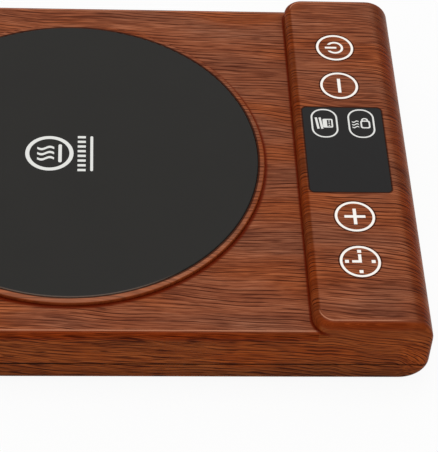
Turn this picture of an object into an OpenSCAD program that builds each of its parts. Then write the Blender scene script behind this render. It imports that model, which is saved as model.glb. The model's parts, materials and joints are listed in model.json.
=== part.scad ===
// Electric mug warmer: a flat two-part casing with a raised strip of push keys along its front
// and a round heated plate behind it.
// X points to the user's right, Y away from the user and Z up. The feet stand on z = 0, and the
// origin is under the middle of the casing.

/* [Casing] */
// Width of the casing, left to right
body_width = 146; // [142:1:160]
// Length of the casing, front to back
body_length = 184; // [180:1:200]
// Height from the bottom face to the top of the key strip
body_height = 26.5; // [26:0.5:30]
// Thickness of the casing walls
wall = 2.4; // [2:0.1:2.8]
// Radius of the edges along the top, bottom and corners
edge_r = 2; // [1:0.1:2.3]
// Radius of the rounded front, top and bottom
nose_r = 8.5; // [7:0.1:9]
// Radius of the back edges
back_r = 5; // [4:0.1:5.5]
// Height of the seam between the two casings above the bottom face
seam_height = 7.5; // [7:0.1:8.1]
// Height of the shadow line at the seam
seam_gap = 0.35; // [0.2:0.05:0.5]
// Depth of the shadow line at the seam
seam_depth = 0.6; // [0.3:0.05:0.9]
// Height of the lip that locates the two casings
lip_height = 1.5; // [1:0.1:2]
// Free space round the lip
lip_gap = 0.1; // [0.05:0.05:0.2]

/* [Key strip] */
// Depth of the raised strip, front to back
strip_depth = 36.7; // [36:0.1:39]
// Height of the strip above the main top
strip_rise = 5.2; // [4.6:0.1:6]
// Plan radius of the strip's two rear corners
strip_corner_r = 6.3; // [5:0.1:8]
// Distance from the front face to the middle of the key row
key_row = 20.9; // [20.5:0.1:21.5]
// Distance from the middle to the power and timer keys
outer_key_x = 48.1; // [46.5:0.1:48.5]
// Distance from the middle to the minus and plus keys
inner_key_x = 29.5; // [28.5:0.1:30.5]
// Diameter of a key cap
key_d = 13.1; // [12.6:0.1:13.6]
// Running gap round a key cap
key_gap = 0.1; // [0.05:0.01:0.1]
// Travel of a key
key_travel = 0.4; // [0.2:0.05:0.6]
// Diameter of the light ring on a key
key_ring_d = 12.6; // [12:0.05:12.9]
// Width of that ring's line
key_ring_w = 0.8; // [0.6:0.05:1.1]
// Width of the lines of the symbols
line_w = 0.95; // [0.7:0.05:1.2]
// Depth of the inlaid symbols
inlay_t = 0.4; // [0.2:0.05:0.6]

/* [Display window] */
// Width of the window
window_w = 38; // [36:0.1:39]
// Depth of the window, front to back
window_d = 26; // [25:0.1:26.6]
// Thickness of the window
window_t = 1.2; // [1:0.1:1.4]
// Corner radius of the window
window_r = 1.5; // [0.8:0.1:3]
// Distance from the front face to the middle of the window
window_row = 21.1; // [20.8:0.1:21.4]
// Thickness of the adhesive frame under the window
tape_t = 0.3; // [0.2:0.05:0.4]
// Width of the ledge that carries the window
ledge_w = 1.4; // [1:0.1:1.8]
// Free space round the window
window_gap = 0.1; // [0.05:0.05:0.2]
// Thickness of the printed icons on the window
icon_t = 0.15; // [0.1:0.05:0.3]

/* [Heated plate] */
// Diameter of the heated plate
plate_d = 120; // [116:0.5:122]
// Thickness of the plate
plate_t = 3; // [2.6:0.1:3.2]
// Height of the plate's top above the main top
plate_proud = 1.8; // [1.5:0.1:2.2]
// How far the plate sits in front of the middle of the land behind the key strip
plate_shift = 0.95; // [0:0.05:2]
// Width of the raised rim of the casing round the plate
rim_w = 2.15; // [1.8:0.05:2.6]
// Height of the plate's top above that rim
rim_drop = 0.3; // [0.1:0.05:0.5]
// Free space round the plate
plate_gap = 0.15; // [0.1:0.05:0.3]
// Thickness of the printed mark on the plate
mark_t = 0.15; // [0.1:0.05:0.3]
// Thickness of the plate's silicone seal
seal_t = 0.8; // [0.6:0.1:1]
// Width of that seal
seal_w = 4.5; // [3.5:0.1:5]

/* [Heater] */
// Free space round the heating element in the opening under the plate
heater_gap = 2.5; // [2:0.1:8]
// Thickness of the heating element
heater_t = 1; // [0.8:0.1:1.2]
// Thickness of the insulation pad
pad_t = 2.6; // [2.4:0.1:3]
// Thickness of the pressed plate that clamps the heater
clamp_t = 1.2; // [1:0.1:1.5]
// Diameter of the round part of the clamp plate
clamp_d = 116; // [112:1:118]
// Distance from the plate's middle to the clamp screws
clamp_screw_r = 65.5; // [65:0.1:66.5]
// Diameter of the temperature sensor
sensor_d = 5; // [4:0.1:6]
// Diameter of the thermal fuse
thermal_fuse_d = 4; // [3.4:0.1:4.4]

/* [Circuit boards] */
// Thickness of both circuit boards
board_t = 1.6; // [1.2:0.1:1.8]
// Distance from each side face to the control board
control_side = 13; // [12.5:0.5:15]
// Depth of the control board
control_d = 29; // [28:0.5:30]
// Distance from the strip's top down to the upper face of the control board
control_drop = 7.8; // [7.6:0.1:8]
// Distance from each side face to the power board
power_side = 17; // [15:0.5:19]
// Depth of the power board
power_d = 34; // [32:0.5:36]
// Height of the power board above the casing floor
power_lift = 3; // [2.5:0.1:3.4]
// Height of the tallest parts on the power board
tall_part = 7.6; // [7:0.1:7.8]

/* [Fasteners, feet and cord entry] */
// Shank diameter of the casing screws
case_screw_d = 3; // [2.6:0.1:3.5]
// Shank diameter of the small screws
small_screw_d = 2.2; // [2:0.1:2.4]
// Height of the feet below the bottom face
foot_drop = 1.5; // [1.2:0.1:3]
// Diameter of a foot
foot_d = 14; // [10:0.5:16]
// Depth of the recess that holds a foot
foot_recess = 0.8; // [0.5:0.1:1]
// Diameter of the hole for the mains cord
cord_d = 5.6; // [5:0.1:6]
// Height of the cord entry above the seam
cord_rise = 1.4; // [1.2:0.1:2]
// Outer diameter of the cord bush's flange
bush_d = 9.2; // [9:0.1:10]

/* [Hidden] */
$fn = 64;

wood = "#87482d";
black = "#302f2d";
white = "#f4f1ea";
steel = "#b9bcc0";
board_green = "#1f5a3a";

slack = 0.05;      // free space between a screw and its hole
rest_gap = 0.1;    // free space above a key's flange
cut = 1;           // how far a cutting tool runs past a face

seal_inset = 0.5;
seat_wall = 3;
clamp_ear_r = 4.6;
flange_t = 0.6;
flange_lip = 0.9;
plunger_r = 1.7;
stem_r = 2.2;
switch_w = 6.2;
switch_gap = 0.9;
control_front = 4.6;
control_screw_inset = 3.4;
power_front = 6;
power_screw_inset = 3.5;
case_post_r = 3.6;
case_post_side = 8.5;
case_post_end = 16;
case_post_clear = 1.5;
case_head_lip = 1.3;
case_head_t = 1.8;
case_head_sink = 2;
case_screw_reach = 6;
small_head_lip = 1;
small_head_t = 1.4;
clamp_bite = 3;
board_bite = 2;
cord_bite = 4;
foot_side = 21;
foot_front_end = 16;
foot_back_end = 18;
bush_wall = 1.1;
bush_flange_t = 1.2;
bush_play = 0.35;
bush_tail = 3;
clamp_post_side = 4.6;
cord_clamp_end = 10;
cord_clamp_w = 6;
cord_clamp_t = 1.8;

z_base = foot_drop;
z_top = z_base + body_height;
z_main = z_top - strip_rise;
z_seam = z_base + seam_height;
z_floor = z_base + wall;
y_front = -body_length / 2;
y_back = body_length / 2;
y_step = y_front + strip_depth;
y_keys = y_front + key_row;
y_window = y_front + window_row;

y_plate = (y_step + y_back) / 2 - plate_shift;
z_plate = z_main + plate_proud;
z_rim = z_plate - rim_drop;
z_plate_under = z_plate - plate_t;
z_seat = z_plate_under - seal_t;
z_heater = z_plate_under - heater_t;
z_pad = z_heater - pad_t;
z_clamp = z_pad - clamp_t;
plate_r = plate_d / 2;
rim_r = plate_r + rim_w;
seal_r = plate_r - seal_inset;
opening_r = seal_r - seal_w - seal_inset;
heater_r = opening_r - heater_gap;
seat_r = plate_r + seat_wall;

z_ceiling = z_top - wall;
z_window = z_top - window_t;
z_ledge = z_window - tape_t;
key_r = key_d / 2;
flange_r = key_r + flange_lip;
z_flange_top = z_ceiling - rest_gap;
z_flange = z_flange_top - flange_t;
z_lights = z_top - control_drop;
z_control = z_lights - board_t;
z_switch_top = z_flange - key_travel - switch_gap;
z_plunger_top = z_switch_top + key_travel + 0.2;
z_plunger = z_switch_top - key_travel - 0.3;
z_switch_bore = z_plunger - key_travel - 0.2;
y_control = y_front + control_front + control_d / 2;

control_w = body_width - 2 * control_side;
control_screw_x = (outer_key_x + inner_key_x) / 2;
control_screw_y = control_d / 2 - control_screw_inset;
z_power = z_floor + power_lift;
z_power_top = z_power + board_t;
y_power = y_front + power_front + power_d / 2;
power_w = body_width - 2 * power_side;
power_screw_x = power_w / 2 - power_screw_inset;
power_screw_y = power_d / 2 - power_screw_inset;
power_post_r = 2.8;

case_post_x = body_width / 2 - case_post_side;
case_post_front = y_front + case_post_end;
case_post_back = y_back - case_post_end;
z_case_post = z_seam + lip_height + case_post_clear;
case_head_r = case_screw_d / 2 + case_head_lip;
z_case_head = z_base + case_head_sink;

foot_x = body_width / 2 - foot_side;
foot_front = y_front + foot_front_end;
foot_back = y_back - foot_back_end;

z_cord = z_seam + cord_rise;
cord_r = cord_d / 2;
bush_neck_r = cord_r + bush_wall;
clamp_post_x = cord_r + clamp_post_side;
y_cord_clamp = y_back - cord_clamp_end;

icon_w = 13.2;
icon_h = 8.7;
icon_r = 4.1;
icon_line = 0.55;
icon_x = 11.7;
icon_y = 6.1;
icon_pitch = 12.1;

display_x = -7.4;
chip_x = 22;
chip_w = 7;
display_w = 19;
display_d = 20;
display_h = z_ledge - z_lights - 1;
box_w = 11.4;
box_d = 22.6;
box_wall = 0.9;
board_post_r = 2.6;

terminal_pitch = 9;
terminal_y = -24;
terminal_h = 4.5;
clip_y = 9;
fuse_y = 24;
lead_r = 0.9;

transformer_x = -40;
core_w = 15;
core_d = 17;
core_leg = 3;
film_x = -22;
film_w = 6;
film_d = 13;
film_back = 3;
can_x = -6;
can_l = 12;
relay_x = 13;
relay_w = 15;
relay_d = 19;
fuse_pitch = 12;
fuse_r = 2.5;
fuse_l = 20;
fuse_cap = 5;
fuse_lift = 1;
holder_w = 7;
holder_d = 3;
holder_y = 7.5;
block_side = 12;
block_w = 8;
block_d = 15;
way_pitch = 5;
way_r = 1.5;
block_x = power_w / 2 - block_side;
fuse_x = block_x - fuse_pitch;

terminal_w = 7;
blade_r = 1.2;
clip_w = 7;
clip_t = 0.8;
clip_pad = 1;

// ---------------------------------------------------------------- shared shapes

module round_rect(w, h, r) {
    if (r > 0) {
        square([w - 2 * r, h], center = true);
        square([w, h - 2 * r], center = true);
        for (sx = [-1, 1], sy = [-1, 1])
            translate([sx * (w / 2 - r), sy * (h / 2 - r)]) circle(r);
    } else {
        square([w, h], center = true);
    }
}

// Strip of width w that runs from x = 0 to x = reach, with its two far corners rounded
module end_section(reach, w, r) {
    if (r > 0) {
        translate([0, -w / 2]) square([reach - r, w]);
        translate([0, r - w / 2]) square([reach, w - 2 * r]);
        for (s = [-1, 1]) translate([reach - r, s * (w / 2 - r)]) circle(r);
    } else {
        translate([0, -w / 2]) square([reach, w]);
    }
}

// Rectangle from the origin with its far upper corner rounded
module shoulder(w, h, r) {
    if (r > 0) {
        square([w - r, h]);
        square([w, h - r]);
        translate([w - r, h - r]) circle(r);
    } else {
        square([w, h]);
    }
}

// Bar along Y from y1 to y2 with all four long edges rounded
module long_block(w, y1, y2, z1, z2, r) {
    translate([0, y2, (z1 + z2) / 2]) rotate([90, 0, 0])
        linear_extrude(y2 - y1) round_rect(w, z2 - z1, r);
}

// Rounded end that reaches from y = 0 to y = bend
module round_end(w, z1, z2, bend, r) {
    translate([0, 0, z2 - bend]) rotate([90, 0, 0]) rotate([0, 90, 0])
        rotate_extrude(angle = 90) end_section(bend, w, r);
    translate([0, 0, z1 + bend]) rotate([0, 90, 0])
        rotate_extrude(angle = 90) end_section(bend, w, r);
    translate([0, 0, z1 + bend]) linear_extrude(z2 - z1 - 2 * bend)
        rotate(90) end_section(bend, w, r);
}

// Outer form of the whole casing, drawn smaller on every side by inset
module casing_form(inset) {
    w = body_width - 2 * inset;
    r = max(edge_r - inset, 0);
    corner = strip_corner_r - inset;
    z1 = z_base + inset;
    top = z_top - inset;
    main = z_main - inset;
    y_corner = y_step - strip_corner_r;
    y_front_bend = y_front + nose_r;
    y_back_bend = y_back - back_r;
    z_corner = z_main - 2 * wall - 1;

    long_block(w, y_corner, y_back_bend, z1, main, r);
    translate([0, y_back_bend, 0]) round_end(w, z1, main, back_r - inset, r);
    long_block(w, y_front_bend, y_corner, z1, top, r);
    translate([0, y_front_bend, 0]) mirror([0, 1, 0]) round_end(w, z1, top, nose_r - inset, r);
    translate([corner - w / 2, y_corner, z_corner]) rotate([90, 0, 90])
        linear_extrude(w - 2 * corner) shoulder(corner, top - z_corner, r);
    for (s = [0, 1]) mirror([s, 0, 0])
        translate([w / 2 - corner, y_corner, z_corner])
            rotate_extrude(angle = 90) shoulder(corner, top - z_corner, r);
}

module above(z) {
    translate([-body_width, -body_length, z]) cube([2 * body_width, 2 * body_length, body_length]);
}

module below(z) {
    translate([-body_width, -body_length, z - body_length])
        cube([2 * body_width, 2 * body_length, body_length]);
}

// Block with a centred footprint that stands at height z
module block(x, y, z, w, d, h) {
    translate([x - w / 2, y - d / 2, z]) cube([w, d, h]);
}

module rod(x, y, z, r, h) {
    translate([x, y, z]) cylinder(r = r, h = h);
}

// Screw with its head's seat at z = 0 and its shank along +Z
module screw(d, head_r, head_t, reach) {
    difference() {
        union() {
            translate([0, 0, -head_t]) cylinder(r = head_r, h = head_t);
            cylinder(r = d / 2, h = reach);
        }
        for (a = [0, 90]) rotate(a) block(0, 0, -head_t - cut, d * 0.95, d * 0.22, cut + head_t * 0.55);
    }
}

module small_screw(reach) {
    screw(small_screw_d, small_screw_d / 2 + small_head_lip, small_head_t, reach);
}

// Round tube of radius r swept along a list of points
function unit(v) = v / norm(v);
function along(p, i) = unit(p[min(i + 1, len(p) - 1)] - p[max(i - 1, 0)]);
function ring_at(p, i, r, sides) =
    let (t = along(p, i), n = unit(cross(t, [1, 0, 0])), b = cross(t, n))
    [for (k = [0 : sides - 1]) p[i] + r * (n * cos(360 * k / sides) + b * sin(360 * k / sides))];
function bezier(a, b, c, d, t) =
    a * pow(1 - t, 3) + 3 * b * t * pow(1 - t, 2) + 3 * c * t * t * (1 - t) + d * pow(t, 3);

module tube(points, r) {
    sides = 10;
    rings = len(points);
    body_points = [for (i = [0 : rings - 1]) each ring_at(points, i, r, sides)];
    side_faces = [
        for (i = [0 : rings - 2], k = [0 : sides - 1])
            [i * sides + k, i * sides + (k + 1) % sides, (i + 1) * sides + (k + 1) % sides,
             (i + 1) * sides + k]
    ];
    end_faces = [
        [for (k = [sides - 1 : -1 : 0]) k],
        [for (k = [0 : sides - 1]) (rings - 1) * sides + k]
    ];
    polyhedron(points = body_points, faces = concat(side_faces, end_faces), convexity = 4);
}

// ---------------------------------------------------------------- symbols, as flat shapes

// Upright wavy line of the given height and line width
module wave(h, w, swing) {
    steps = 16;
    middle = [for (i = [0 : steps]) [swing * sin(360 * i / steps), h * (i / steps - 0.5)]];
    left = [for (p = middle) p - [w / 2, 0]];
    right = [for (i = [steps : -1 : 0]) middle[i] + [w / 2, 0]];
    polygon(concat(left, right));
}

module ring_2d(r, w) {
    difference() {
        circle(r);
        circle(r - w);
    }
}

module power_symbol() {
    arc_r = 2.9;
    gap_half = 1.5;
    bar_low = -0.6;
    bar_high = 3.3;
    difference() {
        ring_2d(arc_r, line_w * 0.8);
        translate([-gap_half, 0]) square([2 * gap_half, arc_r + cut]);
    }
    translate([-line_w * 0.45, bar_low]) square([line_w * 0.9, bar_high - bar_low]);
}

module bar_symbol(length) {
    square([length, line_w * 1.1], center = true);
}

module plus_symbol(length) {
    bar_symbol(length);
    rotate(90) bar_symbol(length);
}

module clock_symbol() {
    dot_r = 4.1;
    dot_w = 1.2;
    for (a = [0 : 90 : 270]) rotate(a) translate([dot_r, 0]) square(dot_w, center = true);
    translate([-line_w / 2, -line_w / 2]) square([line_w, 2.5 + line_w / 2]);
    translate([-line_w / 2, -line_w / 2]) square([2.9 + line_w / 2, line_w]);
}

module key_face(kind) {
    bar = 6.6;
    ring_2d(key_ring_d / 2, key_ring_w);
    if (kind == "power") power_symbol();
    if (kind == "minus") bar_symbol(bar);
    if (kind == "plus") plus_symbol(bar);
    if (kind == "timer") clock_symbol();
}

module icon_frame() {
    difference() {
        round_rect(icon_w, icon_h, icon_r);
        round_rect(icon_w - 2 * icon_line, icon_h - 2 * icon_line, icon_r - icon_line);
    }
}

// Mug with its handle on the right and steam above it
module mug_icon() {
    mug_w = 3.6;
    mug_h = 3.2;
    thin = 0.5;
    translate([-0.4, -1.3]) {
        difference() {
            round_rect(mug_w, mug_h, 0.8);
            round_rect(mug_w - 2 * thin, mug_h - 2 * thin, 0.8 - thin / 2);
        }
        difference() {
            translate([mug_w / 2, 0.1]) ring_2d(1.15, thin);
            square([mug_w - 0.02, mug_h], center = true);
        }
    }
    for (i = [-1 : 1]) translate([-0.4 + 1.25 * i, 1.95]) wave(2.2, 0.45, 0.32);
}

// Jar with a filled upper half and three dots below, under two slanted strokes
module jar_icon() {
    jar_w = 4;
    jar_h = 3.3;
    jar_y = -1.1;
    thin = 0.5;
    fill = 1.4;
    stroke = [5.2, 0.75];
    translate([0, jar_y]) {
        difference() {
            round_rect(jar_w, jar_h, 0.5);
            translate([0, thin / 2 - fill / 2])
                square([jar_w - 2 * thin, jar_h - thin - fill], center = true);
        }
        for (i = [-1 : 1]) translate([i, (thin - fill) / 2]) square(0.45, center = true);
    }
    for (y = [1.15, 2.4]) translate([0, y]) rotate(6) square(stroke, center = true);
}

module icons() {
    translate([icon_x, icon_y]) {
        icon_frame();
        jar_icon();
    }
    translate([icon_x, icon_y - icon_pitch]) {
        icon_frame();
        mug_icon();
    }
}

// Heat mark of the plate: three waves over a bar in a round outline, above a row of level ticks
module heat_mark() {
    mark_r = 7.7;
    thick = 1.3;
    mark_y = 6.9;
    translate([0, mark_y]) {
        ring_2d(mark_r, thick);
        for (i = [-1 : 1]) translate([2.3 * i, 1.2]) wave(5.4, 0.95, 0.55);
        translate([0, -3.4]) round_rect(8, 1.1, 0.5);
    }
    ticks = 8;
    pitch = 2.1;
    for (i = [0 : ticks - 1])
        translate([pitch * (i - (ticks - 1) / 2), -3.4]) square([1, 2.6], center = true);
    translate([0, -6.6]) round_rect(15.6, 0.9, 0.4);
}

// ---------------------------------------------------------------- places

module at_plate() {
    translate([0, y_plate, 0]) children();
}

module at_clamp_ears() {
    at_plate() for (a = [45 : 90 : 315]) rotate(a) translate([clamp_screw_r, 0, 0]) children();
}

module at_case_posts() {
    for (s = [-1, 1], y = [case_post_front, case_post_back])
        translate([s * case_post_x, y, 0]) children();
}

module at_control_screws() {
    for (sx = [-1, 1], sy = [-1, 1])
        translate([sx * control_screw_x, y_control + sy * control_screw_y, 0]) children();
}

module at_power_screws() {
    for (sx = [-1, 1], sy = [-1, 1])
        translate([sx * power_screw_x, y_power + sy * power_screw_y, 0]) children();
}

module at_keys() {
    for (x = [-outer_key_x, -inner_key_x, inner_key_x, outer_key_x])
        translate([x, y_keys, 0]) children();
}

module at_feet() {
    for (s = [-1, 1], y = [foot_front, foot_back]) translate([s * foot_x, y, 0]) children();
}

module at_cord(y) {
    translate([0, y, z_cord]) rotate([90, 0, 0]) children();
}

module cord_entry_cut() {
    at_cord(y_back + cut) cylinder(r = bush_d / 2 + slack, h = bush_flange_t + cut);
    at_cord(y_back + cut) cylinder(r = bush_neck_r + slack, h = wall + lip_height + 2 * cut);
}

// ---------------------------------------------------------------- casing

module top_housing() {
    color(wood) difference() {
        union() {
            difference() {
                intersection() {
                    casing_form(0);
                    above(z_seam);
                }
                casing_form(wall);
            }
            at_plate() translate([0, 0, z_main - wall])
                rotate_extrude() shoulder(rim_r, z_rim - z_main + wall, 0.4);
            at_plate() rod(0, 0, z_pad, seat_r, z_main - wall / 2 - z_pad);
            at_clamp_ears() rod(0, 0, z_pad, clamp_ear_r - 0.4, z_main - wall / 2 - z_pad);
            at_case_posts() rod(0, 0, z_case_post, case_post_r, z_main - wall / 2 - z_case_post);
            for (s = [-1, 1]) rod(s * case_post_x, case_post_front, z_main - wall, case_post_r,
                z_ceiling + wall / 2 - z_main + wall);
            at_control_screws() rod(0, 0, z_lights, board_post_r, z_ceiling + wall / 2 - z_lights);
        }
        at_plate() rod(0, 0, z_seat, plate_r + plate_gap, z_plate - z_seat + cut);
        at_plate() rod(0, 0, z_pad - cut, opening_r, z_seat - z_pad + 2 * cut);
        at_clamp_ears() rod(0, 0, z_pad - cut, small_screw_d / 2 + slack, clamp_bite + 2 * slack + cut);
        at_case_posts() rod(0, 0, z_case_post - cut, case_screw_d / 2 + slack, case_screw_reach + cut);
        at_control_screws() rod(0, 0, z_lights - cut, small_screw_d / 2 + slack, 2 * board_bite + cut);
        at_keys() rod(0, 0, z_ceiling - cut, key_r + key_gap, wall + 2 * cut);
        translate([0, y_window, z_ledge]) linear_extrude(z_top - z_ledge + cut)
            round_rect(window_w + 2 * window_gap, window_d + 2 * window_gap, window_r + window_gap);
        block(0, y_window, z_ceiling - cut, window_w - 2 * ledge_w, window_d - 2 * ledge_w, wall + cut);
        intersection() {
            casing_form(wall / 2);
            below(z_seam + lip_height + lip_gap);
        }
        cord_entry_cut();
    }
}

module bottom_housing() {
    vents = 7;
    vent_w = 2;
    vent_l = 26;
    vent_pitch = 5;
    label_t = 0.4;
    color("#5f321c") difference() {
        union() {
            difference() {
                intersection() {
                    casing_form(0);
                    below(z_seam);
                }
                casing_form(wall);
                difference() {
                    above(z_seam - seam_gap);
                    casing_form(seam_depth);
                }
            }
            intersection() {
                difference() {
                    casing_form(wall / 2 + lip_gap);
                    casing_form(wall);
                    below(z_seam - wall);
                }
                below(z_seam + lip_height);
            }
            at_case_posts() rod(0, 0, z_base + wall / 2, case_post_r, z_case_post - z_base - wall / 2);
            at_power_screws() rod(0, 0, z_base + wall / 2, power_post_r, z_power - z_base - wall / 2);
            for (s = [-1, 1]) rod(s * clamp_post_x, y_cord_clamp, z_base + wall / 2, 2.6,
                z_cord + cord_r - z_base - wall / 2);
            block(0, y_cord_clamp, z_base + wall / 2, 2 * cord_r, 3, z_cord - cord_r - z_base - wall / 2);
            at_feet() rod(0, 0, z_base + wall / 2, foot_d / 2 + 1.2, wall / 2 + foot_recess);
        }
        at_case_posts() rod(0, 0, z_base - cut, case_screw_d / 2 + slack, z_case_post - z_base + 2 * cut);
        at_case_posts() rod(0, 0, z_base - cut, case_head_r + 0.3, z_case_head - z_base + cut);
        at_power_screws() rod(0, 0, z_floor, small_screw_d / 2 + slack, power_lift + cut);
        for (s = [-1, 1]) rod(s * clamp_post_x, y_cord_clamp, z_floor + 1, small_screw_d / 2 + slack, 12);
        at_feet() rod(0, 0, z_base - cut, foot_d / 2 + slack, foot_recess + cut);
        for (s = [-1, 1], i = [0 : vents - 1])
            translate([s * 34 + vent_pitch * (i - (vents - 1) / 2), y_plate, z_base - cut])
                linear_extrude(wall + 2 * cut) round_rect(vent_w, vent_l, vent_w / 2 - 0.01);
        translate([0, y_plate - 45, z_base - cut]) linear_extrude(label_t + cut) round_rect(50, 24, 2);
        cord_entry_cut();
    }
}

// ---------------------------------------------------------------- plate and heater

module heating_plate() {
    color(black) at_plate() difference() {
        translate([0, 0, z_plate_under]) rotate_extrude() shoulder(plate_r, plate_t, 0.4);
        translate([0, 0, z_plate - mark_t]) linear_extrude(mark_t + cut) heat_mark();
    }
}

module plate_marking() {
    color(white) at_plate() translate([0, 0, z_plate - mark_t]) linear_extrude(mark_t) heat_mark();
}

module plate_seal() {
    color("#8a3a2a") at_plate() difference() {
        rod(0, 0, z_seat, seal_r, seal_t);
        rod(0, 0, z_seat - cut, seal_r - seal_w, seal_t + 2 * cut);
    }
}

module heating_element() {
    hub_r = sensor_d / 2 + 1.5;
    color("#a08a58") at_plate() difference() {
        rod(0, 0, z_heater, heater_r, heater_t);
        rod(0, 0, z_heater - cut, hub_r, heater_t + 2 * cut);
    }
}

module insulation_pad() {
    color("#d8d2c4") at_plate() difference() {
        rod(0, 0, z_pad, heater_r, pad_t);
        rod(0, 0, z_pad - cut, sensor_d / 2 + 0.3, pad_t + 2 * cut);
        for (s = [-1, 1]) rod(s * terminal_pitch / 2, terminal_y, z_pad - cut, blade_r * 1.3, pad_t + 2 * cut);
    }
}

module heater_clamp_plate() {
    color(steel) difference() {
        union() {
            at_plate() rod(0, 0, z_clamp, clamp_d / 2, clamp_t);
            at_clamp_ears() rod(0, 0, z_clamp, clamp_ear_r, clamp_t);
            at_plate() for (a = [45 : 90 : 315]) rotate(a)
                block(clamp_d / 4 + clamp_screw_r / 2, 0, z_clamp, clamp_screw_r - clamp_d / 2 + 8,
                    2 * clamp_ear_r - 1, clamp_t);
        }
        at_clamp_ears() rod(0, 0, z_clamp - cut, small_screw_d / 2 + 0.2, clamp_t + 2 * cut);
        at_plate() {
            rod(0, 0, z_clamp - cut, sensor_d / 2 + 0.3, clamp_t + 2 * cut);
            for (s = [-1, 1])
                rod(s * terminal_pitch / 2, terminal_y, z_clamp - cut, blade_r * 1.3, clamp_t + 2 * cut);
            rod(0, clip_y, z_clamp - cut, small_screw_d / 2 + slack, clamp_t + 2 * cut);
            rod(0, fuse_y, z_clamp - cut, small_screw_d / 2 + slack, clamp_t + 2 * cut);
        }
    }
}

module heater_clamp_screws() {
    color("silver") at_clamp_ears() translate([0, 0, z_clamp]) small_screw(clamp_t + clamp_bite);
}

// Ceramic block under the clamp plate, with two blades that reach up to the heating element
module heater_terminals() {
    color("#e8e2d4") at_plate() {
        difference() {
            block(0, terminal_y, z_clamp - terminal_h, terminal_pitch + terminal_w, terminal_w, terminal_h);
            for (s = [-1, 1])
                translate([s * terminal_pitch / 2, terminal_y - terminal_w / 2 - cut, z_clamp - terminal_h / 2])
                    rotate([-90, 0, 0]) cylinder(r = lead_r + slack, h = terminal_w / 2 + cut);
        }
        for (s = [-1, 1]) rod(s * terminal_pitch / 2, terminal_y, z_clamp, blade_r, z_heater - z_clamp);
    }
}

module temperature_sensor() {
    color("#c8b070") at_plate() rod(0, 0, z_clamp - clip_pad, sensor_d / 2, z_plate_under - z_clamp + clip_pad);
}

// Leaf spring that presses the sensor against the plate, with its own screw
module sensor_clip() {
    color(steel) at_plate() {
        block(0, clip_y / 2, z_clamp - clip_pad - clip_t, clip_w, clip_y + clip_w, clip_t);
        block(0, clip_y, z_clamp - clip_pad, clip_w, clip_w, clip_pad);
        translate([0, clip_y, z_clamp - clip_pad - clip_t]) small_screw(clip_pad + clip_t + clamp_t);
    }
}

module thermal_fuse() {
    fuse_l = 12;
    z_fuse = z_clamp - thermal_fuse_d / 2 - 0.2;
    color("#c9a85a") at_plate() translate([0, fuse_y + 8, z_fuse]) rotate([0, 90, 0]) {
        translate([0, 0, -fuse_l / 2]) cylinder(r = thermal_fuse_d / 2, h = fuse_l);
        translate([0, 0, -fuse_l]) cylinder(r = 0.5, h = 2 * fuse_l);
    }
}

module fuse_clip() {
    z_low = z_clamp - thermal_fuse_d - 1.2;
    color(steel) at_plate() {
        difference() {
            union() {
                block(0, fuse_y + 8, z_low, 6, thermal_fuse_d + 2.4, z_clamp - z_low);
                block(0, fuse_y + 1.5, z_clamp - 0.8, 6, 11, 0.8);
            }
            translate([-cut - 3, fuse_y + 8, z_clamp - thermal_fuse_d / 2 - 0.2]) rotate([0, 90, 0])
                cylinder(r = thermal_fuse_d / 2 + slack, h = 6 + 2 * cut);
        }
        translate([0, fuse_y, z_clamp - 0.8]) small_screw(0.8 + clamp_t);
    }
}

// ---------------------------------------------------------------- window and its lights

module display_window() {
    color(black) translate([0, y_window, 0]) difference() {
        translate([0, 0, z_window]) linear_extrude(window_t) round_rect(window_w, window_d, window_r);
        translate([0, 0, z_top - icon_t]) linear_extrude(icon_t + cut) icons();
    }
}

module window_icons() {
    color(white) translate([0, y_window, z_top - icon_t]) linear_extrude(icon_t) icons();
}

module window_tape() {
    color("#101010") translate([0, y_window, z_ledge]) linear_extrude(tape_t) difference() {
        round_rect(window_w - 0.4, window_d - 0.4, window_r);
        square([window_w - 2 * ledge_w + 0.4, window_d - 2 * ledge_w + 0.4], center = true);
    }
}

// Two-digit light module
module display_module() {
    digit = 7.6;
    seg_w = 1;
    z_face = z_lights + display_h;
    color("#d6d6d2") difference() {
        block(display_x, y_window, z_lights, display_w, display_d, display_h);
        for (s = [-1, 1]) translate([display_x + s * digit * 0.6, y_window, z_face - 0.4])
            for (k = [-1 : 1]) {
                block(0, k * 6.2, 0, 4.6, seg_w, cut);
                if (k != 0) for (e = [-1, 1]) block(e * 3, k * 3.1, 0, seg_w, 4.6, cut);
            }
    }
}

module icon_light_box() {
    room_d = (box_d - 3 * box_wall) / 2;
    color("#f0efe9") difference() {
        block(icon_x, y_window, z_lights, box_w, box_d, z_window - 0.3 - z_lights);
        for (s = [-1, 1]) block(icon_x, y_window + s * (room_d + box_wall) / 2, z_lights - cut,
            box_w - 2 * box_wall, room_d, 12);
    }
}

module indicator_leds() {
    color("#fff3c4") for (s = [-1, 1]) block(icon_x, y_window + s * icon_pitch / 2, z_lights, 3.2, 1.8, 1.1);
}

// ---------------------------------------------------------------- keys

module key_cap(x, kind) {
    color(wood) translate([x, y_keys, 0]) difference() {
        union() {
            rod(0, 0, z_flange, key_r, z_top - z_flange);
            rod(0, 0, z_flange, flange_r, flange_t);
            rod(0, 0, z_plunger_top, stem_r, z_flange - z_plunger_top);
        }
        translate([0, 0, z_top - inlay_t]) linear_extrude(inlay_t + cut) key_face(kind);
    }
}

module key_legend(x, kind) {
    color(white) translate([x, y_keys, z_top - inlay_t]) linear_extrude(inlay_t) key_face(kind);
}

module key_plunger(x) {
    color("#1c1c1c") rod(x, y_keys, z_plunger, plunger_r, z_plunger_top - z_plunger);
}

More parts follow.
